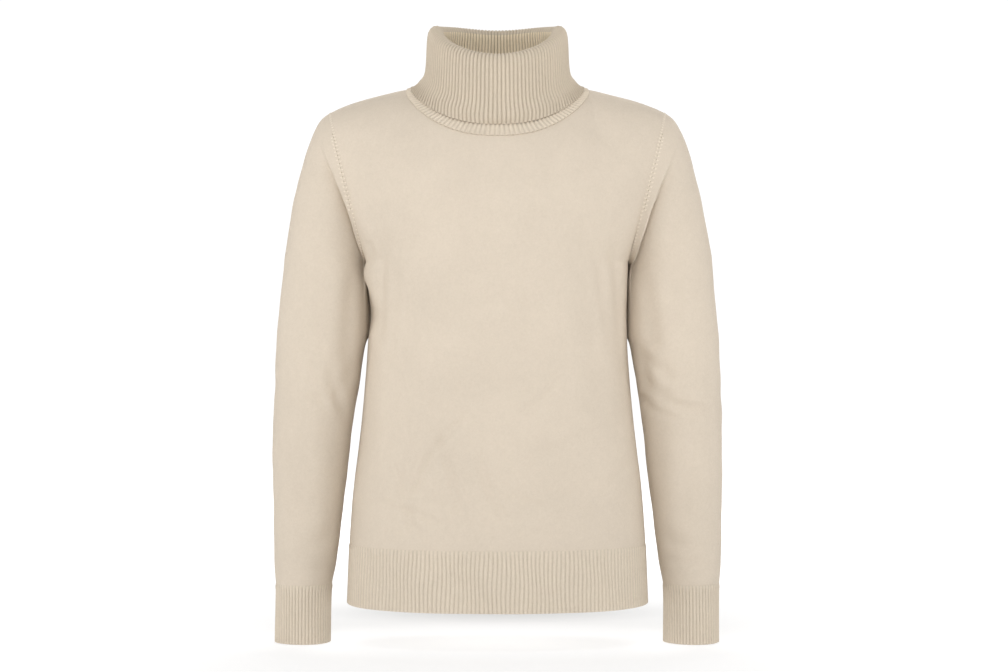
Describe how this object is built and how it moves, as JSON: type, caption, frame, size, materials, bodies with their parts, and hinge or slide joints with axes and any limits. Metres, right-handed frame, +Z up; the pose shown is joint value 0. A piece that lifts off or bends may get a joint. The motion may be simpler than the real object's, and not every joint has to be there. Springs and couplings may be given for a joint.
{
  "type": "knitted roll-neck pullover",
  "caption": "Fine-knit pullover, hollow as worn, with a folded ribbed roll neck, long set-in sleeves, ribbed cuffs and a ribbed hem.",
  "frame": {"origin": "midway between the two shoulder lines at the foot of the neck, where the wearer's shoulders carry the garment", "axes": "+Z up, the front of the garment faces -Y, and +X is towards the garment's left sleeve"},
  "size_m": [0.5382, 0.2301, 0.7427],
  "materials": {
    "plain_knit": "matt fine plain knit",
    "rib_knit": "matt narrow rib knit"
  },
  "bodies": {
    "root": {"front_panel": "plain_knit", "back_panel": "plain_knit", "sleeve_left": "plain_knit", "sleeve_right": "plain_knit", "hem_rib_front": "rib_knit", "hem_rib_back": "rib_knit", "cuff_left": "rib_knit", "cuff_right": "rib_knit", "collar": "rib_knit"}
  },
  "joints": []
}
